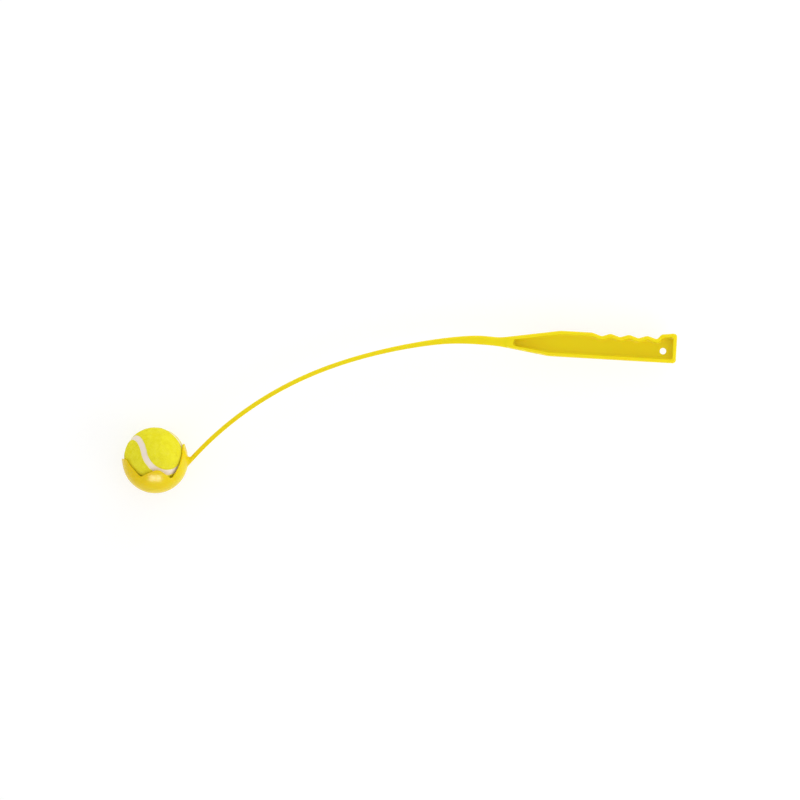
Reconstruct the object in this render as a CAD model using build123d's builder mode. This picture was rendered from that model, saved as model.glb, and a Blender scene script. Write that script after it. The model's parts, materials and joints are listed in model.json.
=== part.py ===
from build123d import *
from math import acos, asin, cos, degrees, radians, sin, sqrt, tan
import os

# A moulded ball launcher with a felt-covered ball in its cup.
# It lies on its side: X runs from the cup to the grip, Y is up as it is held, Z is across.
# The launcher is drawn about the cup's centre and its mirror plane is Z = 0. The ball is
# drawn about its own centre. All is set down at the end on the bottom centre of the whole.

# Ball: a hollow rubber core in two halves, two felt panels and the seam between them
ball_diameter = 63.5
felt_thickness = 3.2
core_wall = 3.6
glue_film = 0.1
seam_width = 6.4
seam_sink = 0.6
seam_clearance = 0.15
seam_tilt = 14
ball_turn_angles = (-113.2, -28.5, -159.1)

# Cup: a round bottom under straight walls, and where the ball sits and leaves it
ball_clearance = 0.3
ball_lift = 2.4
cup_wall = 1.95
lip_wall = 0.9
lip_reach_share = 0.41
release_angle = 102

# Petals: heights of their tips over the cup's centre as shares of its radius, and the notches between them
rear_petal_share = 0.506
front_petal_share = 0.05
side_petal_share = -0.3
side_petal_azimuth = 86.4
rear_notch_azimuth = 52
front_notch_azimuth = 122
rear_petal_flank = 66
front_petal_flank = 47.5
side_petal_rear_flank = 30
side_petal_front_flank = 22.5
notch_round = 3.5
petal_round = 5
side_petal_round = 6
rim_round = 0.4

# Arm: a neck on the cup, then three arcs that flatten towards the grip and one that turns back,
# and the part of its length at which it starts to thicken
arm_foot_angle = -4.1
arm_leave_angle = 47.2
neck_length = 9
neck_round = 2
arm_thickness = 4.7
arm_width = 10
arm_radii = (349.6, 498.3, 220.2, 298)
arm_turn_angles = (-26.7, -15.35, -11.3, 2.85)
arm_station_shares = (0, 0.2, 0.4, 0.6, 0.74, 0.85, 0.94, 1)
arm_swell_share = 0.62

# Grip: its outline across (from the arm's line) and along (its belly from the arm, the rest back from
# the butt: pommel, finger grooves, crown), and its I-section
grip_length = 176.3
grip_thickness = 21
grip_neck = 11.1
edge_round = 2.2
belly_start = 44.5
belly_depth = 11.9
crown_length = 32.5
crown_height = 15.15
taper_round = 25
groove_pitch = 19
groove_count = 4
groove_depth = 3.25
groove_fall_share = 0.53
groove_valley_round = 5
groove_peak_round = 6.5
pommel_length = 16
pommel_step = 4.7
pommel_height = 17.3
pommel_round = 3
butt_height = 19.3
butt_round = 3.5
rim_width = 3.6
web_thickness = 4
recess_nose = 7.7
recess_round = 2.6
floor_round = 2.4
hang_hole_diameter = 6.6
hang_hole_from_butt = 13.85
hang_hole_height = 0.12

# How far a cut runs past what it cuts
overrun = 1

# Sizes that follow
ball_radius = ball_diameter / 2
seat_radius = ball_radius + ball_clearance
cup_radius = seat_radius + cup_wall
lip_reach = lip_reach_share * cup_radius
rear_petal_top = rear_petal_share * cup_radius
front_petal_top = front_petal_share * cup_radius
side_petal_top = side_petal_share * cup_radius
release = Vector(1, 0, 0).rotate(Axis.Z, release_angle)
cup_axis = Axis((0, 0, 0), release)
cup_plane = Plane((0, 0, 0), x_dir=release.rotate(Axis.Z, -90), z_dir=(0, 0, 1))

# The arm's line, from the cup's skin to the grip
arm_heading = Vector(1, 0, 0).rotate(Axis.Z, arm_leave_angle)
arm_foot = Vector(cup_radius, 0, 0).rotate(Axis.Z, arm_foot_angle)
with BuildLine() as arm_line:
    start = arm_foot + arm_heading * neck_length
    heading = arm_heading
    for radius, turn in zip(arm_radii, arm_turn_angles):
        arc = JernArc(start, heading, radius, turn)
        start = arc @ 1
        heading = arc % 1
arm_wire = arm_line.wire()
neck_plane = Plane(arm_wire @ 0, x_dir=arm_heading.rotate(Axis.Z, 90), z_dir=arm_heading)
grip_plane = Plane(arm_wire @ 1, x_dir=arm_wire % 1, z_dir=(0, 0, 1))

# Cup: solid form and neck, then the seat, then a notch on each side of the front and rear petals,
# and last a round along the rim, on the edges of the small faces that the notches leave
cut_reach = cup_radius + lip_reach
side_petal_radius = sqrt((seat_radius + cup_wall / 2) ** 2 - side_petal_top**2)
notches = (
    (rear_notch_azimuth, 0, rear_petal_top, rear_petal_flank, side_petal_rear_flank),
    (front_notch_azimuth, 180, front_petal_top, front_petal_flank, side_petal_front_flank),
)
with BuildPart() as ball_cup:
    with BuildSketch(cup_plane):
        with BuildLine():
            bottom = CenterArc((0, 0), cup_radius, -90, 90)
            lip = TangentArc(bottom @ 1, (seat_radius + lip_wall, lip_reach), tangent=bottom % 1)
            Polyline(lip @ 1, (0, lip_reach), bottom @ 0)
        make_face()
    revolve(axis=cup_axis)
    with BuildSketch(neck_plane):
        RectangleRounded(arm_thickness, arm_width, edge_round)
    extrude(amount=-neck_length - arm_thickness)
    fillet(ball_cup.edges(Select.NEW), neck_round)
    with BuildSketch(cup_plane):
        with BuildLine():
            seat = CenterArc((0, 0), seat_radius, -90, 90)
            Polyline(seat @ 1, (seat_radius, lip_reach + overrun), (0, lip_reach + overrun), seat @ 0)
        make_face()
    revolve(axis=cup_axis, mode=Mode.SUBTRACT)
    for azimuth, petal_azimuth, petal_top, petal_flank, side_flank in notches:
        petal_reach = cut_reach * sin(radians(abs(petal_azimuth - azimuth)))
        side_sine = sin(radians(abs(side_petal_azimuth - azimuth)))
        side_reach = cut_reach * side_sine
        shoulder = side_petal_radius * side_sine - side_petal_round * tan(radians(side_flank / 2))
        floor = side_petal_top - shoulder * tan(radians(side_flank))
        tip = (petal_top - floor) / tan(radians(petal_flank))
        outline = (
            (-side_reach, side_petal_top),
            (-shoulder, side_petal_top),
            (0, floor),
            (tip, petal_top),
            (petal_reach, petal_top),
            (petal_reach, cut_reach),
            (-side_reach, cut_reach),
        )
        rounds = (0, side_petal_round, notch_round, petal_round, 0, 0, 0)
        for side in (1, -1):
            outward = Vector(1, 0, 0).rotate(Axis.Y, -side * azimuth)
            to_petal = side if petal_azimuth < azimuth else -side
            with BuildSketch(Plane((0, 0, 0), x_dir=Vector(0, 1, 0).cross(outward), z_dir=outward)):
                with BuildLine():
                    FilletPolyline([(to_petal * x, y) for x, y in outline], radius=rounds, close=True)
                make_face()
            extrude(amount=cut_reach, mode=Mode.SUBTRACT)
    small_faces = ball_cup.faces().filter_by(lambda face: face.area < cup_wall * cup_radius)
    rim_faces = small_faces.filter_by(lambda face: face.center().X < seat_radius)
    fillet(rim_faces.edges().filter_by(GeomType.LINE, reverse=True), rim_round)

# Grip's outline, its finger grooves worked out one by one from the shoulder to the pommel
pommel_start = grip_length - pommel_length
last_valley = pommel_start - pommel_step
first_crest = last_valley - (groove_count - 1 + groove_fall_share) * groove_pitch
groove_edge = []
for groove in range(groove_count):
    crest = first_crest + groove * groove_pitch
    valley = crest + groove_fall_share * groove_pitch
    groove_edge.append((crest, crown_height, groove_peak_round))
    groove_edge.append((valley, crown_height - groove_depth, groove_valley_round))
groove_edge[-1] = (last_valley, crown_height - groove_depth, pommel_round)
grip_outline = [
    (0, -grip_neck / 2, 0),
    (belly_start, -belly_depth, taper_round),
    (grip_length, -belly_depth, butt_round),
    (grip_length, butt_height, butt_round),
    (pommel_start, pommel_height, pommel_round),
    *reversed(groove_edge),
    (first_crest - crown_length, crown_height, taper_round),
    (0, grip_neck / 2, 0),
]
grip_points = [(along, across) for along, across, rounding in grip_outline]
grip_rounds = [rounding for along, across, rounding in grip_outline]

# Arm: its side outline between two edges that run into the grip's, then its plan, then its rounds
edge_ends = {1: (grip_points[-1], grip_points[-2]), -1: (grip_points[0], grip_points[1])}
with BuildPart() as throwing_arm:
    with BuildSketch():
        with BuildLine() as side_outline:
            for side, (grip_edge, grip_edge_end) in edge_ends.items():
                edge_points = []
                for share in arm_station_shares:
                    swell = max(0, (share - arm_swell_share) / (1 - arm_swell_share)) ** 2
                    thickness = arm_thickness + swell * (grip_neck - arm_thickness)
                    across = (arm_wire % share).rotate(Axis.Z, side * 90)
                    edge_points.append(arm_wire @ share + across * thickness / 2)
                flare = grip_plane.from_local_coords(grip_edge_end) - grip_plane.from_local_coords(grip_edge)
                Spline(edge_points, tangents=(arm_heading, flare))
            upper, lower = side_outline.edges()
            Line(upper @ 0, lower @ 0)
            Line(upper @ 1, lower @ 1)
        make_face()
    extrude(amount=grip_thickness, both=True)
    with BuildSketch(Plane.XZ):
        with BuildLine():
            cup_end = (arm_wire @ 0).X - arm_thickness
            grip_end = (arm_wire @ 1).X + grip_neck
            near = Spline((cup_end, arm_width / 2), (grip_end, grip_thickness / 2), tangents=((1, 0), (1, 0)))
            far = Spline((cup_end, -arm_width / 2), (grip_end, -grip_thickness / 2), tangents=((1, 0), (1, 0)))
            Line(near @ 0, far @ 0)
            Line(near @ 1, far @ 1)
        make_face()
    extrude(amount=grip_plane.origin.Y + grip_neck, both=True, mode=Mode.INTERSECT)
    broad_faces = throwing_arm.faces().sort_by(SortBy.AREA)[-2:]
    fillet(broad_faces.edges().filter_by(Axis.Z, reverse=True), edge_round)

# Grip: the outline's solid, its rounds, a recess in each side down to the web, and the hang hole
with BuildPart() as grip_handle:
    with BuildSketch(grip_plane):
        with BuildLine():
            FilletPolyline(grip_points, radius=grip_rounds, close=True)
        make_face()
    extrude(amount=grip_thickness / 2, both=True)
    side_edges = grip_handle.faces().filter_by(Axis.Z).edges()
    fillet(
        side_edges.filter_by(lambda edge: grip_plane.to_local_coords(edge.center()).X > overrun),
        edge_round,
    )
    for side in (1, -1):
        with BuildSketch(grip_plane.offset(side * web_thickness / 2)) as recess:
            with BuildLine():
                FilletPolyline(grip_points, radius=grip_rounds, close=True)
            make_face()
            offset(amount=-rim_width, kind=Kind.INTERSECTION)
            Rectangle(2 * recess_nose, grip_length, mode=Mode.SUBTRACT)
            ends = recess.vertices().group_by(Axis.X)
            fillet(ends[0] + ends[-1], recess_round)
        extrude(amount=side * grip_thickness / 2, mode=Mode.SUBTRACT)
    web_faces = grip_handle.faces().filter_by(Axis.Z).group_by(Axis.Z)[1:3]
    fillet([edge for face in web_faces for edge in face.edges()], floor_round)
    with BuildSketch(grip_plane):
        with Locations((grip_length - hang_hole_from_butt, hang_hole_height)):
            Circle(hang_hole_diameter / 2)
    extrude(amount=web_thickness, both=True, mode=Mode.SUBTRACT)

# Core: a half-shell turned about the ball's axis, and its mirror image edge to edge with it
core_radius = ball_radius - felt_thickness
with BuildPart() as core_half_a:
    with BuildSketch(Plane.XZ):
        with BuildLine():
            outside = CenterArc((0, 0), core_radius, 0, 90)
            inside = CenterArc((0, 0), core_radius - core_wall, 0, 90)
            Line(outside @ 0, inside @ 0)
            Line(outside @ 1, inside @ 1)
        make_face()
    revolve(axis=Axis.Z)
with BuildPart() as core_half_b:
    mirror(core_half_a.part, about=Plane.XY)


# Seam: where its centre line runs at the end of a lobe, as an angle from the lobe's own centre
seam_lobe = acos(cos(radians(seam_tilt)) / sqrt(2))


def panel_face(radius, gap):
    """The first felt panel on a ball: two lobes that dip under the equator, two saddles over it."""
    tilt = radians(seam_tilt)
    lobe = seam_lobe - asin(gap / ball_diameter)
    corner = acos(cos(lobe) / cos(tilt))
    saddle = acos(cos(tilt) * sin(corner))
    under = Vector(0, radius, 0).rotate(Axis.X, -seam_tilt - degrees(lobe))
    over = Vector(radius, 0, 0).rotate(Axis.Y, -seam_tilt - degrees(saddle))
    left = Vector(0, radius, 0).rotate(Axis.Z, degrees(corner))
    right = Vector(0, radius, 0).rotate(Axis.Z, -degrees(corner))
    with BuildLine() as edge:
        ThreePointArc(right, under, left)
        ThreePointArc(left, over.rotate(Axis.Z, 180), right.rotate(Axis.Z, 180))
        ThreePointArc(right.rotate(Axis.Z, 180), under.rotate(Axis.Z, 180), left.rotate(Axis.Z, 180))
        ThreePointArc(left.rotate(Axis.Z, 180), over, right)
    skin = Sphere(radius, rotation=(0, 90, 0), mode=Mode.PRIVATE).face()
    return min(skin.split_by_perimeter(edge.wire(), Keep.BOTH), key=lambda face: face.area)


# Felt: a dog-bone panel parted from the ball's skin and thickened, and the same panel turned over
turn_over = Axis((0, 0, 0), (1, 1, 0))
with BuildPart() as felt_panel_a:
    thicken(panel_face(ball_radius, seam_width + 2 * seam_clearance), glue_film - felt_thickness)
with BuildPart() as felt_panel_b:
    add(felt_panel_a.part.rotate(turn_over, 180))

# Seam: a zone round the ball, sunk under the felt's nap, less the room that both panels take
seam_radius = ball_radius - seam_sink
seam_reach = (90 + seam_tilt + degrees(seam_lobe)) / 2
with BuildPart() as ball_seam:
    with BuildSketch(Plane.XZ):
        with BuildLine():
            outside = CenterArc((0, 0), seam_radius, -seam_reach, 2 * seam_reach)
            inside = CenterArc((0, 0), core_radius + glue_film, -seam_reach, 2 * seam_reach)
            Line(outside @ 0, inside @ 0)
            Line(outside @ 1, inside @ 1)
        make_face()
    revolve(axis=Axis.Z)
    panel_room = thicken(panel_face(seam_radius, seam_width), felt_thickness, both=True, mode=Mode.PRIVATE)
    add(panel_room, mode=Mode.SUBTRACT)
    add(panel_room.rotate(turn_over, 180), mode=Mode.SUBTRACT)

# Set down: the ball in its cup, and the whole with its bottom centre at the origin
in_launcher = Location((0, 0, 0))
in_cup = Location(release * ball_lift, ball_turn_angles)
pieces = {
    "ball_cup": (ball_cup, in_launcher),
    "throwing_arm": (throwing_arm, in_launcher),
    "grip_handle": (grip_handle, in_launcher),
    "core_half_a": (core_half_a, in_cup),
    "core_half_b": (core_half_b, in_cup),
    "felt_panel_a": (felt_panel_a, in_cup),
    "felt_panel_b": (felt_panel_b, in_cup),
    "ball_seam": (ball_seam, in_cup),
}
whole = Compound([piece.part.moved(place) for piece, place in pieces.values()]).bounding_box()
set_down = Location((-whole.center().X, -whole.center().Y, -whole.min.Z))
os.makedirs("parts", exist_ok=True)
for name, (piece, place) in pieces.items():
    solid = piece.part.moved(set_down * place)
    solid.label = name
    export_step(solid, f"parts/{name}.step")
print("size", whole.size, "set down by", set_down.position)
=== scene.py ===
"""A moulded ball launcher with a felt-covered ball in its cup, dressed over its fixed frame."""

import json
from math import acos, asin, cos, pi, radians, sin, sqrt
from random import Random

import bpy
from mathutils import Euler, Matrix, Vector

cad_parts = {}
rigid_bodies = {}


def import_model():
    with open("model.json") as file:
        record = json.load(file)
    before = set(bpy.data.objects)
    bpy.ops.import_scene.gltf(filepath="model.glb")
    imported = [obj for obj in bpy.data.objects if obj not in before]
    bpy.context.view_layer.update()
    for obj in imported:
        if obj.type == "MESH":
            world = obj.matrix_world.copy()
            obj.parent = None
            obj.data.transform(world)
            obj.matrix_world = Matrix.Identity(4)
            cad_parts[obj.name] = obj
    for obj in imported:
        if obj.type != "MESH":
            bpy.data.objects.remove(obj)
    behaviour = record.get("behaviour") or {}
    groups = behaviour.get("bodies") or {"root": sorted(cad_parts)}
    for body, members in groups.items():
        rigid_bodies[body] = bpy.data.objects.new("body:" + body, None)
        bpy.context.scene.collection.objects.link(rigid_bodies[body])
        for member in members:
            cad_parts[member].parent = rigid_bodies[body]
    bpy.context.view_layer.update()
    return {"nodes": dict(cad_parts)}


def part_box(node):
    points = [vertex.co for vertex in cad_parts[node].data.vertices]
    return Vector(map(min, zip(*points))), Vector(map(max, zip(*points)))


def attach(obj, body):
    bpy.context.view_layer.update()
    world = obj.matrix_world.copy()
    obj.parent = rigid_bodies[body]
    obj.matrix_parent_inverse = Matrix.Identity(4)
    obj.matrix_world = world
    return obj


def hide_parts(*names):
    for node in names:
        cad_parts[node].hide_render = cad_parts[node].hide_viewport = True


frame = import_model()

bl_info = {
    "name": "Ball launcher",
    "version": (1, 0, 0),
    "blender": (4, 5, 0),
    "location": "3D View > Sidebar > Ball launcher",
    "description": "Finishes a moulded ball launcher and makes the felt of its ball",
    "category": "Object",
}

MM = 0.001

# The frame's own places: the launcher's nodes, its middle plane, and the ball's centre and size
LAUNCHER_NODES = ("ball_cup", "throwing_arm", "grip_handle")
CORE_NODES = ("core_half_a", "core_half_b")
FELT_NODES = ("felt_panel_a", "felt_panel_b")
core_corners = [corner for node in CORE_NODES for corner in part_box(node)]
felt_corners = [corner for node in FELT_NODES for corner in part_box(node)]
BALL_CENTRE = Vector([(min(side) + max(side)) / 2 for side in zip(*core_corners)])
BALL_RADIUS = max(abs(length) for corner in felt_corners for length in corner - BALL_CENTRE)
GRIP_LOW, GRIP_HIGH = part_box("grip_handle")
CUP_LOW, CUP_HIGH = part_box("ball_cup")
MIDDLE_HEIGHT = (GRIP_LOW.z + GRIP_HIGH.z) / 2

# Finishes: indices of refraction, the weak gloss of plastic and felt, the felt's sheen, the scale along the
# launcher that draws its flow clouds out, how uneven its satin is, and the mould line's height over the waves
PLASTIC_IOR = 1.49
RUBBER_IOR = 1.52
WEAK_GLOSS = 0.1
FELT_SHEEN = {"Sheen Weight": 0.4, "Sheen Roughness": 0.5}
FLOW_STRETCH = 0.35
SATIN_SPREAD = 0.02
LINE_RISE = 16

# Felt: how fine its panels are meshed, and a loose fibre's three lengths, each with its lean from upright
# in degrees and its taper
SPHERE_SUBDIVISIONS = 6
FELT_VOXEL = 0.5 * MM
MERGE_DISTANCE = 0.05 * MM
FIBRE_BENDS = ((72, 0.85), (86, 0.7), (95, 0.35))
FIBRE_SIDES = 3
TUFT_FIBRES = 4
TUFT_SPREAD = radians(100)

# Stage, in metres: the floor's size, the strength of its glow beside that, and each lamp's place from what
# it lights and size
FLOOR_SIZE = 6
FLOOR_GLOW_STRENGTH = 1.2
KEY_PLACE, KEY_SIZE = Vector((0.8, -0.55, 0.6)), (1, 1)
TOP_PLACE, TOP_SIZE = Vector((0.3, 1, 0.35)), (1.2, 0.8)
GLINT_PLACE, GLINT_SIZE = Vector((0.03, -0.85, 0.4)), (0.6, 0.4)


def linear(hex_colour):
    """An sRGB hex colour as linear red, green, blue and full alpha."""
    parts = [int(hex_colour[start:start + 2], 16) / 255 for start in (0, 2, 4)]
    return (*[part / 12.92 if part <= 0.04045 else ((part + 0.055) / 1.055) ** 2.4 for part in parts], 1.0)


# Settings that a user would change


class LauncherPlasticSettings(bpy.types.PropertyGroup):
    """The moulding's plastic."""

    colour: bpy.props.FloatVectorProperty(
        name="Plastic", description="Colour of the moulded plastic", subtype="COLOR", size=4, min=0, max=1,
        default=linear("f0cc0c"))
    flow_colour: bpy.props.FloatVectorProperty(
        name="Flow", description="Colour where the melt flowed thin", subtype="COLOR", size=4, min=0, max=1,
        default=linear("f1de1c"))
    line_colour: bpy.props.FloatVectorProperty(
        name="Mould line", description="Colour of the line where the mould's halves met", subtype="COLOR", size=4,
        min=0, max=1, default=linear("dcb90e"))
    roughness: bpy.props.FloatProperty(
        name="Roughness", description="How satin the moulded skin is", subtype="FACTOR", min=0, max=1,
        default=0.24)
    flow_length: bpy.props.FloatProperty(
        name="Flow length", description="Size of the flow clouds in the plastic", unit="LENGTH", default=60 * MM)
    grain: bpy.props.FloatProperty(
        name="Grain", description="Size of the waves in the moulded skin", unit="LENGTH", default=2.2 * MM)
    parting_line: bpy.props.FloatProperty(
        name="Parting line", description="Width of the line where the mould's halves met", unit="LENGTH",
        default=0.5 * MM)


class LauncherBallSettings(bpy.types.PropertyGroup):
    """The ball's felt, nap, seam and core."""

    # The felt's colour, which also stands as painted shade in the hollows between its fibres
    felt_colour: bpy.props.FloatVectorProperty(
        name="Felt", description="Colour of the felt between its fibres", subtype="COLOR", size=4, min=0, max=1,
        default=linear("e9de08"))
    # The pale felt colour: painted highlight on the raised fibres, also the sheen's tint, the loose fibres' base
    # and the felt dust in the seam
    felt_light: bpy.props.FloatVectorProperty(
        name="Felt, light", description="Colour of the felt's raised fibres", subtype="COLOR", size=4,
        min=0, max=1, default=linear("fbf53c"))
    fibre_colour: bpy.props.FloatVectorProperty(
        name="Loose fibres", description="Colour of the palest loose fibres", subtype="COLOR", size=4,
        min=0, max=1, default=linear("f8f05c"))
    seam_colour: bpy.props.FloatVectorProperty(
        name="Seam", description="Colour of the set glue in the seam", subtype="COLOR", size=4, min=0, max=1,
        default=linear("f5e6da"))
    core_colour: bpy.props.FloatVectorProperty(
        name="Core", description="Colour of the rubber core", subtype="COLOR", size=4, min=0, max=1,
        default=linear("2b2b2c"))
    felt_thickness: bpy.props.FloatProperty(
        name="Felt thickness", description="Thickness of the felt panels", unit="LENGTH", default=2.9 * MM)
    seam_gap: bpy.props.FloatProperty(
        name="Seam gap", description="Gap between the felt panels", unit="LENGTH", default=6.3 * MM)
    seam_tilt: bpy.props.FloatProperty(
        name="Seam tilt", description="How far a panel's lobes dip under the ball's equator", unit="ROTATION",
        default=radians(14))
    turn: bpy.props.FloatVectorProperty(
        name="Turn", description="How the ball lies turned in the cup", subtype="EULER", size=3,
        default=(radians(-113.2), radians(-28.5), radians(-159.1)))
    matting: bpy.props.FloatProperty(
        name="Matting", description="How uneven the felt's skin is", unit="LENGTH", default=0.3 * MM)
    clump_size: bpy.props.FloatProperty(
        name="Clump size", description="Size of the felt's clumps", unit="LENGTH", default=5 * MM)
    curl_size: bpy.props.FloatProperty(
        name="Curl size", description="Size of the felt's curls of fibre", unit="LENGTH", default=0.9 * MM)
    fibre_length: bpy.props.FloatProperty(
        name="Fibre length", description="Length of a loose fibre", unit="LENGTH", default=1.6 * MM)
    fibre_width: bpy.props.FloatProperty(
        name="Fibre width", description="Thickness of a loose fibre at its root", unit="LENGTH", default=0.12 * MM)
    tuft_count: bpy.props.IntProperty(
        name="Tufts", description="Tufts of loose fibres on each panel", min=0, default=2000)


class LauncherStageSettings(bpy.types.PropertyGroup):
    """The camera, the lamps and the floor."""

    camera_height: bpy.props.FloatProperty(
        name="Camera height", description="From the launcher's middle plane to the camera", unit="LENGTH",
        default=2)
    view_width: bpy.props.FloatProperty(
        name="View width", description="Width of the view, which has no perspective", unit="LENGTH",
        default=826 * MM)
    view_centre: bpy.props.FloatVectorProperty(
        name="View centre", description="Where the camera looks", subtype="TRANSLATION", size=2,
        default=(0.57 * MM, 12.43 * MM))
    key_power: bpy.props.FloatProperty(
        name="Key lamp", description="Power of the lamp beyond the grip", unit="POWER", default=3.2)
    top_power: bpy.props.FloatProperty(
        name="Top lamp", description="Power of the lamp on the side of the cup's mouth", unit="POWER", default=3)
    glint_power: bpy.props.FloatProperty(
        name="Glint lamp", description="Power of the lamp that shows in the cup's gloss", unit="POWER", default=25)
    horizon_strength: bpy.props.FloatProperty(
        name="Horizon", description="Strength of the soft light all round, low down", min=0, default=1)
    zenith_strength: bpy.props.FloatProperty(
        name="Zenith", description="Strength of the soft light from straight above", min=0, default=0.68)
    floor_glow: bpy.props.FloatProperty(
        name="Floor glow", description="How much of the white floor is its own glow", subtype="FACTOR",
        min=0, max=1, default=0.54)


class LauncherSettings(bpy.types.PropertyGroup):
    """All of the launcher's settings."""

    plastic: bpy.props.PointerProperty(type=LauncherPlasticSettings)
    ball: bpy.props.PointerProperty(type=LauncherBallSettings)
    stage: bpy.props.PointerProperty(type=LauncherStageSettings)


# Materials


def new_material(name):
    """An empty node material, and its tree."""
    material = bpy.data.materials.new(name)
    material.use_nodes = True
    material.node_tree.nodes.clear()
    return material, material.node_tree


def add_node(tree, kind, inputs=None, **settings):
    """Add a node with its settings, and set each named input to a value or link it to a socket."""
    node = tree.nodes.new(kind)
    for name, value in settings.items():
        setattr(node, name, value)
    for name, value in (inputs or {}).items():
        if isinstance(value, bpy.types.NodeSocket):
            tree.links.new(value, node.inputs[name])
        else:
            node.inputs[name].default_value = value
    return node


def moulded_polypropylene(settings):
    """Injection-moulded polypropylene: a satin, slightly wavy skin over clouds of flow, and a fine mould line."""
    material, tree = new_material("moulded_polypropylene")
    place = add_node(tree, "ShaderNodeTexCoord").outputs["Object"]
    along = add_node(tree, "ShaderNodeMapping", {"Vector": place, "Scale": (FLOW_STRETCH, 1, 1)}).outputs["Vector"]
    flow = add_node(
        tree, "ShaderNodeTexNoise",
        {"Vector": along, "Scale": 1 / settings.flow_length, "Detail": 3, "Distortion": 0.8})
    across = add_node(tree, "ShaderNodeSeparateXYZ", {"Vector": place})
    thinned = add_node(
        tree, "ShaderNodeMapRange",
        {"Value": across.outputs["X"], "From Min": CUP_LOW.x, "From Max": CUP_HIGH.x + settings.flow_length / 2,
         "To Min": -0.5, "To Max": 0.5}, interpolation_type="SMOOTHSTEP")
    share = add_node(
        tree, "ShaderNodeMath", {0: flow.outputs["Fac"], 1: thinned.outputs["Result"]},
        operation="ADD", use_clamp=True)
    clouds = add_node(
        tree, "ShaderNodeMix", {"Factor": share.outputs["Value"], "A": settings.colour, "B": settings.flow_colour},
        data_type="RGBA")
    line = add_node(
        tree, "ShaderNodeMath", {0: across.outputs["Z"], 1: MIDDLE_HEIGHT, 2: settings.parting_line / 2},
        operation="COMPARE")
    colour = add_node(
        tree, "ShaderNodeMix",
        {"Factor": line.outputs["Value"], "A": clouds.outputs["Result"], "B": settings.line_colour},
        data_type="RGBA")
    waves = add_node(tree, "ShaderNodeTexNoise", {"Vector": place, "Scale": 1 / settings.grain, "Detail": 2})
    satin = add_node(
        tree, "ShaderNodeMapRange",
        {"Value": waves.outputs["Fac"], "To Min": settings.roughness - SATIN_SPREAD,
         "To Max": settings.roughness + SATIN_SPREAD})
    relief = add_node(
        tree, "ShaderNodeMath", {0: line.outputs["Value"], 1: LINE_RISE, 2: waves.outputs["Fac"]},
        operation="MULTIPLY_ADD")
    bump = add_node(
        tree, "ShaderNodeBump", {"Height": relief.outputs["Value"], "Strength": 0.015, "Distance": 0.1 * MM})
    skin = add_node(
        tree, "ShaderNodeBsdfPrincipled",
        {"Base Color": colour.outputs["Result"], "Roughness": satin.outputs["Result"],
         "Normal": bump.outputs["Normal"], "IOR": PLASTIC_IOR, "Specular IOR Level": WEAK_GLOSS,
         "Subsurface Weight": 0.35, "Subsurface Radius": (1, 0.6, 0.1), "Subsurface Scale": 2 * MM})
    add_node(tree, "ShaderNodeOutputMaterial", {"Surface": skin.outputs["BSDF"]})
    return material


def napped_felt(settings):
    """Needled wool and nylon felt: a dull matted cloth with random mottling, painted shade between its fibres and
    painted highlight where they stand up.
    """
    material, tree = new_material("napped_felt")
    place = add_node(tree, "ShaderNodeTexCoord").outputs["Object"]
    clumps = add_node(
        tree, "ShaderNodeTexNoise",
        {"Vector": place, "Scale": 1 / settings.clump_size, "Detail": 6, "Roughness": 0.65})
    # Felt fibres are about 0.03 mm thick: the curls are drawn far coarser, as bunches of them, so that they show
    curls = add_node(
        tree, "ShaderNodeTexNoise",
        {"Vector": place, "Scale": 1 / settings.curl_size, "Detail": 3, "Roughness": 0.6, "Distortion": 3})
    # Painted shade and highlight: the colour follows the height of the clumps and curls, deeper in the hollows and
    # paler where fibres rise, over the clumps' random mottling
    height = add_node(
        tree, "ShaderNodeMath", {0: clumps.outputs["Fac"], 1: curls.outputs["Fac"]}, operation="ADD")
    relief_light_and_shade = add_node(
        tree, "ShaderNodeMapRange", {"Value": height.outputs["Value"], "From Min": 0.7, "From Max": 1.3})
    colour = add_node(
        tree, "ShaderNodeMix",
        {"Factor": relief_light_and_shade.outputs["Result"], "A": settings.felt_colour, "B": settings.felt_light},
        data_type="RGBA")
    bump = add_node(
        tree, "ShaderNodeBump", {"Height": curls.outputs["Fac"], "Strength": 0.8, "Distance": 0.3 * MM})
    cloth = add_node(
        tree, "ShaderNodeBsdfPrincipled",
        {"Base Color": colour.outputs["Result"], "Normal": bump.outputs["Normal"], "Roughness": 0.95,
         "Specular IOR Level": WEAK_GLOSS, "Sheen Tint": settings.felt_light, **FELT_SHEEN})
    add_node(tree, "ShaderNodeOutputMaterial", {"Surface": cloth.outputs["BSDF"]})
    return material


def loose_fibres(settings):
    """Loose ends of wool and nylon: thin, dull and paler than the felt, so that they soften it."""
    material, tree = new_material("loose_felt_fibres")
    place = add_node(tree, "ShaderNodeTexCoord").outputs["Object"]
    clumps = add_node(tree, "ShaderNodeTexNoise", {"Vector": place, "Scale": 1 / settings.clump_size, "Detail": 3})
    colour = add_node(
        tree, "ShaderNodeMix",
        {"Factor": clumps.outputs["Fac"], "A": settings.felt_light, "B": settings.fibre_colour}, data_type="RGBA")
    fibre = add_node(
        tree, "ShaderNodeBsdfPrincipled",
        {"Base Color": colour.outputs["Result"], "Roughness": 0.9,
         "Specular IOR Level": WEAK_GLOSS, "Sheen Tint": settings.fibre_colour, **FELT_SHEEN})
    add_node(tree, "ShaderNodeOutputMaterial", {"Surface": fibre.outputs["BSDF"]})
    return material


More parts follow.
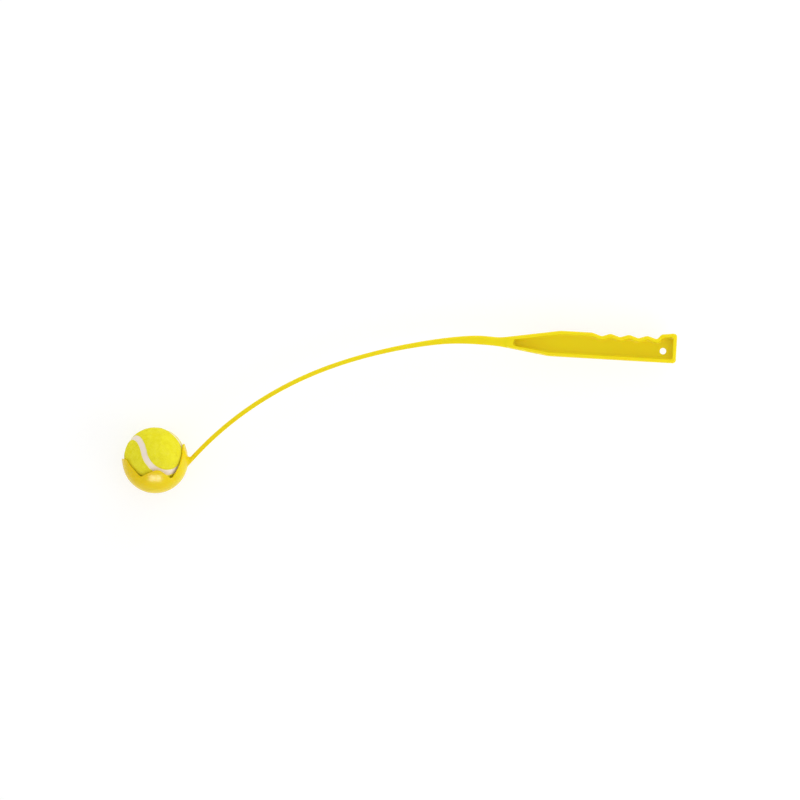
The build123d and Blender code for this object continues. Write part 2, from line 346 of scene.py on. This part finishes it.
def set_glue(settings):
    """Vulcanised seam glue: a pale, dull rubber, a little uneven and dusted with felt."""
    material, tree = new_material("vulcanised_seam_glue")
    place = add_node(tree, "ShaderNodeTexCoord").outputs["Object"]
    lumps = add_node(tree, "ShaderNodeTexNoise", {"Vector": place, "Scale": 1 / (3 * MM), "Detail": 4})
    dust = add_node(
        tree, "ShaderNodeMapRange",
        {"Value": lumps.outputs["Fac"], "From Min": 0.5, "From Max": 0.9, "To Max": 0.3})
    colour = add_node(
        tree, "ShaderNodeMix",
        {"Factor": dust.outputs["Result"], "A": settings.seam_colour, "B": settings.felt_light},
        data_type="RGBA")
    bump = add_node(
        tree, "ShaderNodeBump", {"Height": lumps.outputs["Fac"], "Strength": 0.4, "Distance": 0.3 * MM})
    rubber = add_node(
        tree, "ShaderNodeBsdfPrincipled",
        {"Base Color": colour.outputs["Result"], "Normal": bump.outputs["Normal"], "Roughness": 0.75,
         "IOR": RUBBER_IOR})
    add_node(tree, "ShaderNodeOutputMaterial", {"Surface": rubber.outputs["BSDF"]})
    return material


def moulded_rubber(settings):
    """Compression-moulded natural rubber: near black and dull, with a bloom of grey powder."""
    material, tree = new_material("moulded_rubber")
    place = add_node(tree, "ShaderNodeTexCoord").outputs["Object"]
    bloom = add_node(tree, "ShaderNodeTexNoise", {"Vector": place, "Scale": 1 / (8 * MM), "Detail": 5})
    colour = add_node(
        tree, "ShaderNodeMix",
        {"Factor": bloom.outputs["Fac"], "A": settings.core_colour, "B": linear("4a4a48")}, data_type="RGBA")
    rubber = add_node(
        tree, "ShaderNodeBsdfPrincipled",
        {"Base Color": colour.outputs["Result"], "Roughness": 0.7, "IOR": RUBBER_IOR})
    add_node(tree, "ShaderNodeOutputMaterial", {"Surface": rubber.outputs["BSDF"]})
    return material


def white_floor(settings):
    """Matt white studio paper: it keeps a soft shadow and otherwise shows as plain white."""
    material, tree = new_material("matt_white_paper")
    place = add_node(tree, "ShaderNodeTexCoord").outputs["Object"]
    tooth = add_node(tree, "ShaderNodeTexNoise", {"Vector": place, "Scale": 1 / (2 * MM)})
    colour = add_node(
        tree, "ShaderNodeMix",
        {"Factor": tooth.outputs["Fac"], "A": linear("f2f2f2"), "B": linear("f6f6f6")}, data_type="RGBA")
    paper = add_node(tree, "ShaderNodeBsdfDiffuse", {"Color": colour.outputs["Result"]})
    rays = add_node(tree, "ShaderNodeLightPath")
    mirrored = add_node(
        tree, "ShaderNodeMath", {0: rays.outputs["Is Glossy Ray"], 1: rays.outputs["Is Transmission Ray"]},
        operation="MAXIMUM")
    seen = add_node(
        tree, "ShaderNodeMath", {0: rays.outputs["Is Camera Ray"], 1: mirrored.outputs["Value"]},
        operation="MAXIMUM")
    share = add_node(
        tree, "ShaderNodeMath", {0: seen.outputs["Value"], 1: settings.floor_glow}, operation="MULTIPLY")
    glow = add_node(tree, "ShaderNodeEmission", {"Color": linear("ffffff"), "Strength": FLOOR_GLOW_STRENGTH})
    mix = add_node(
        tree, "ShaderNodeMixShader",
        {0: share.outputs["Value"], 1: paper.outputs["BSDF"], 2: glow.outputs["Emission"]})
    add_node(tree, "ShaderNodeOutputMaterial", {"Surface": mix.outputs["Shader"]})
    return material


# Pieces


def finish_node(node, material):
    """Give a CAD node's object its material."""
    mesh = frame["nodes"][node].data
    mesh.materials.clear()
    mesh.materials.append(material)


def start_piece():
    """Leave edit mode and deselect everything, so that the next primitive stands alone."""
    if bpy.context.mode != "OBJECT":
        bpy.ops.object.mode_set(mode="OBJECT")
    bpy.ops.object.select_all(action="DESELECT")


def apply_modifier(piece, kind, **settings):
    """Add a modifier with its settings to a piece and apply it."""
    modifier = piece.modifiers.new(kind.title(), kind)
    for name, value in settings.items():
        setattr(modifier, name, value)
    bpy.context.view_layer.objects.active = piece
    bpy.ops.object.modifier_apply(modifier=modifier.name)


class LAUNCHER_OT_moulding(bpy.types.Operator):
    """Finish the cup, the arm and the grip as one plastic moulding"""

    bl_idname = "launcher.moulding"
    bl_label = "Launcher moulding"

    def execute(self, context):
        material = moulded_polypropylene(context.scene.launcher.plastic)
        for node in LAUNCHER_NODES:
            finish_node(node, material)
        return {"FINISHED"}


class LAUNCHER_OT_core(bpy.types.Operator):
    """Finish the two halves of the ball's rubber core"""

    bl_idname = "launcher.core"
    bl_label = "Ball core"

    def execute(self, context):
        material = moulded_rubber(context.scene.launcher.ball)
        for node in CORE_NODES:
            finish_node(node, material)
        return {"FINISHED"}


class LAUNCHER_OT_seam(bpy.types.Operator):
    """Finish the seam between the ball's felt panels"""

    bl_idname = "launcher.seam"
    bl_label = "Ball seam"

    def execute(self, context):
        finish_node("ball_seam", set_glue(context.scene.launcher.ball))
        return {"FINISHED"}


class LAUNCHER_OT_felt(bpy.types.Operator):
    """Make the ball's two felt panels, each a dog-bone cut from the ball's skin"""

    bl_idname = "launcher.felt"
    bl_label = "Felt panels"

    def execute(self, context):
        settings = context.scene.launcher.ball
        material = napped_felt(settings)
        for node, turned_over in zip(FELT_NODES, (False, True)):
            panel = self.cut_panel(settings)
            panel.name = panel.data.name = node.replace("panel", "cover")
            self.thicken(panel, settings)
            place = Matrix.Translation(BALL_CENTRE) @ Euler(settings.turn, "ZYX").to_matrix().to_4x4()
            if turned_over:
                place = place @ Matrix.Rotation(pi, 4, Vector((1, 1, 0)))
            panel.data.transform(place)
            panel.data.materials.append(material)
            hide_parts(node)
            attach(panel, "ball")
        return {"FINISHED"}

    def cut_panel(self, settings):
        """Cut the first panel out of a sphere, along the planes of its lobes' and saddles' edges."""
        tilt = settings.seam_tilt
        radius = BALL_RADIUS - settings.matting / 2
        lobe = acos(cos(tilt) / sqrt(2)) - asin(settings.seam_gap / (2 * BALL_RADIUS))
        saddle = acos(cos(tilt) * sin(acos(cos(lobe) / cos(tilt))))
        lobes = [(Vector((0, side * cos(tilt), -sin(tilt))), cos(lobe)) for side in (1, -1)]
        saddles = [(Vector((side * cos(tilt), 0, sin(tilt))), cos(saddle)) for side in (1, -1)]
        start_piece()
        bpy.ops.mesh.primitive_ico_sphere_add(subdivisions=SPHERE_SUBDIVISIONS, radius=radius)
        panel = bpy.context.object
        bpy.ops.object.mode_set(mode="EDIT")
        bpy.ops.mesh.select_mode(type="FACE")
        for direction, reach in [(Vector((0, 0, 1)), 0), *lobes, *saddles]:
            bpy.ops.mesh.select_all(action="SELECT")
            bpy.ops.mesh.bisect(plane_co=direction * reach * radius, plane_no=direction)
        bpy.ops.mesh.select_all(action="DESELECT")
        bpy.ops.object.mode_set(mode="OBJECT")
        for face in panel.data.polygons:
            towards = face.center.normalized()
            if face.center.z > 0:
                face.select = any(towards.dot(direction) > reach for direction, reach in saddles)
            else:
                face.select = all(towards.dot(direction) < reach for direction, reach in lobes)
        bpy.ops.object.mode_set(mode="EDIT")
        bpy.ops.mesh.delete(type="FACE")
        bpy.ops.mesh.select_all(action="SELECT")
        bpy.ops.mesh.remove_doubles(threshold=MERGE_DISTANCE)
        bpy.ops.object.mode_set(mode="OBJECT")
        return panel

    def thicken(self, panel, settings):
        """Give a panel its thickness, worn round edges and a matted, uneven skin."""
        apply_modifier(panel, "SOLIDIFY", thickness=settings.felt_thickness - settings.matting, offset=-1)
        apply_modifier(panel, "REMESH", mode="VOXEL", voxel_size=FELT_VOXEL)
        apply_modifier(panel, "SMOOTH", factor=0.5, iterations=6)
        clumps = bpy.data.textures.new("felt_clumps", "CLOUDS")
        clumps.noise_scale = settings.clump_size / 2
        clumps.noise_depth = 2
        apply_modifier(
            panel, "DISPLACE", texture=clumps, texture_coords="LOCAL", strength=settings.matting, mid_level=0.5)
        start_piece()
        panel.select_set(True)
        bpy.ops.object.shade_smooth()


class LAUNCHER_OT_nap(bpy.types.Operator):
    """Raise loose fibres on the felt, so that its outline and its edges at the seam are soft"""

    bl_idname = "launcher.nap"
    bl_label = "Felt nap"

    def execute(self, context):
        settings = context.scene.launcher.ball
        tuft = self.model_tuft(settings)
        tuft.data.materials.append(loose_fibres(settings))
        for number, node in enumerate(FELT_NODES):
            panel = bpy.data.objects[node.replace("panel", "cover")]
            self.scatter(tuft, panel, settings, seed=number)
        bpy.data.objects.remove(tuft)
        return {"FINISHED"}

    def model_tuft(self, settings):
        """One tuft of thin tapered fibres that lean outwards and curl down."""
        start_piece()
        bpy.ops.mesh.primitive_circle_add(vertices=FIBRE_SIDES, radius=settings.fibre_width / 2, fill_type="NGON")
        tuft = bpy.context.object
        tuft.name = "felt_tuft"
        bpy.ops.object.mode_set(mode="EDIT")
        bpy.ops.mesh.select_mode(type="FACE")
        bpy.ops.mesh.select_all(action="SELECT")
        step = settings.fibre_length / len(FIBRE_BENDS)
        for lean, taper in FIBRE_BENDS:
            along = Vector((sin(radians(lean)), 0, cos(radians(lean)))) * step
            bpy.ops.mesh.extrude_region_move(TRANSFORM_OT_translate={"value": along})
            bpy.ops.transform.resize(value=(taper,) * 3)
        bpy.ops.mesh.select_all(action="SELECT")
        bpy.ops.mesh.normals_make_consistent(inside=False)
        for _ in range(TUFT_FIBRES - 1):
            bpy.ops.mesh.duplicate()
            bpy.ops.transform.rotate(value=TUFT_SPREAD, orient_axis="Z", center_override=(0, 0, 0))
        bpy.ops.object.mode_set(mode="OBJECT")
        return tuft

    def scatter(self, tuft, panel, settings, seed):
        """Copy the tuft to places all over a panel's outer skin and join the copies into one nap."""
        chance = Random(seed)
        skin = [face for face in panel.data.polygons
                if (face.center - BALL_CENTRE).length > BALL_RADIUS - settings.felt_thickness / 2]
        copies = []
        for face in chance.sample(skin, settings.tuft_count):
            copy = bpy.data.objects.new("felt_fibres", tuft.data.copy())
            spin = Matrix.Rotation(chance.uniform(0, 2 * pi), 4, "Z")
            lie = (face.center - BALL_CENTRE).to_track_quat("Z", "Y").to_matrix().to_4x4()
            copy.data.transform(Matrix.Translation(face.center) @ lie @ spin)
            bpy.context.collection.objects.link(copy)
            copies.append(copy)
        start_piece()
        for copy in copies:
            copy.select_set(True)
        bpy.context.view_layer.objects.active = copies[0]
        bpy.ops.object.join()
        nap = copies[0]
        nap.name = nap.data.name = panel.name.replace("cover", "nap")
        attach(nap, "ball")


class LAUNCHER_OT_stage(bpy.types.Operator):
    """Set the white floor, the soft lamps, the sky and the camera that looks straight down"""

    bl_idname = "launcher.stage"
    bl_label = "Stage"

    def execute(self, context):
        settings = context.scene.launcher.stage
        self.lay_floor(settings)
        self.light_sky(settings)
        middle = Vector((*settings.view_centre, MIDDLE_HEIGHT))
        cup = Vector((CUP_LOW.x, CUP_LOW.y, MIDDLE_HEIGHT))
        self.hang_lamp("key_lamp", middle + KEY_PLACE, middle, KEY_SIZE, settings.key_power)
        self.hang_lamp("top_lamp", middle + TOP_PLACE, middle, TOP_SIZE, settings.top_power)
        glint = self.hang_lamp("glint_lamp", cup + GLINT_PLACE, cup, GLINT_SIZE, settings.glint_power)
        glint.visible_diffuse = False
        self.set_camera(settings, middle)
        context.scene.view_settings.view_transform = "Standard"
        return {"FINISHED"}

    def lay_floor(self, settings):
        """A wide white floor under the launcher."""
        start_piece()
        bpy.ops.mesh.primitive_plane_add(size=FLOOR_SIZE)
        floor = bpy.context.object
        floor.name = "floor"
        floor.data.materials.append(white_floor(settings))

    def light_sky(self, settings):
        """Soft white light all round, stronger low down, so that a recess lies darker than its rim."""
        world = bpy.data.worlds.new("studio")
        bpy.context.scene.world = world
        world.use_nodes = True
        tree = world.node_tree
        tree.nodes.clear()
        direction = add_node(tree, "ShaderNodeTexCoord").outputs["Generated"]
        height = add_node(tree, "ShaderNodeSeparateXYZ", {"Vector": direction}).outputs["Z"]
        strength = add_node(
            tree, "ShaderNodeMapRange",
            {"Value": height, "To Min": settings.horizon_strength, "To Max": settings.zenith_strength})
        sky = add_node(
            tree, "ShaderNodeBackground", {"Color": linear("ffffff"), "Strength": strength.outputs["Result"]})
        add_node(tree, "ShaderNodeOutputWorld", {"Surface": sky.outputs["Background"]})

    def hang_lamp(self, name, place, target, size, power):
        """A rectangular soft lamp that points at a target and isn't seen itself."""
        lamp = bpy.data.lights.new(name, "AREA")
        lamp.shape = "RECTANGLE"
        lamp.size, lamp.size_y = size
        lamp.energy = power
        holder = bpy.data.objects.new(name, lamp)
        holder.location = place
        holder.rotation_euler = (target - place).to_track_quat("-Z", "Y").to_euler()
        holder.visible_camera = False
        bpy.context.collection.objects.link(holder)
        return holder

    def set_camera(self, settings, middle):
        """A camera straight above the launcher's middle plane."""
        lens = bpy.data.cameras.new("camera")
        lens.type = "ORTHO"
        lens.ortho_scale = settings.view_width
        camera = bpy.data.objects.new("camera", lens)
        camera.location = middle + Vector((0, 0, settings.camera_height))
        bpy.context.collection.objects.link(camera)
        bpy.context.scene.camera = camera


class LAUNCHER_PT_sidebar(bpy.types.Panel):
    """The launcher's pieces and settings in the 3D view's sidebar"""

    bl_idname = "LAUNCHER_PT_sidebar"
    bl_label = "Ball launcher"
    bl_space_type = "VIEW_3D"
    bl_region_type = "UI"
    bl_category = "Ball launcher"

    def draw(self, context):
        for operator in OPERATORS:
            self.layout.operator(operator.bl_idname)
        settings = context.scene.launcher
        for group in (settings.plastic, settings.ball, settings.stage):
            for name in group.bl_rna.properties.keys():
                if name not in ("rna_type", "name"):
                    self.layout.prop(group, name)


OPERATORS = (
    LAUNCHER_OT_moulding,
    LAUNCHER_OT_core,
    LAUNCHER_OT_seam,
    LAUNCHER_OT_felt,
    LAUNCHER_OT_nap,
    LAUNCHER_OT_stage,
)
CLASSES = (
    LauncherPlasticSettings,
    LauncherBallSettings,
    LauncherStageSettings,
    LauncherSettings,
    *OPERATORS,
    LAUNCHER_PT_sidebar,
)


def register():
    """Register the classes and hang the settings on the scene."""
    for each in CLASSES:
        bpy.utils.register_class(each)
    bpy.types.Scene.launcher = bpy.props.PointerProperty(type=LauncherSettings)


def unregister():
    """Take the settings and the classes away again."""
    del bpy.types.Scene.launcher
    for each in reversed(CLASSES):
        bpy.utils.unregister_class(each)


def main():
    """Make every piece in order."""
    register()
    bpy.ops.launcher.moulding()
    bpy.ops.launcher.core()
    bpy.ops.launcher.seam()
    bpy.ops.launcher.felt()
    bpy.ops.launcher.nap()
    bpy.ops.launcher.stage()


if __name__ == "__main__":
    main()
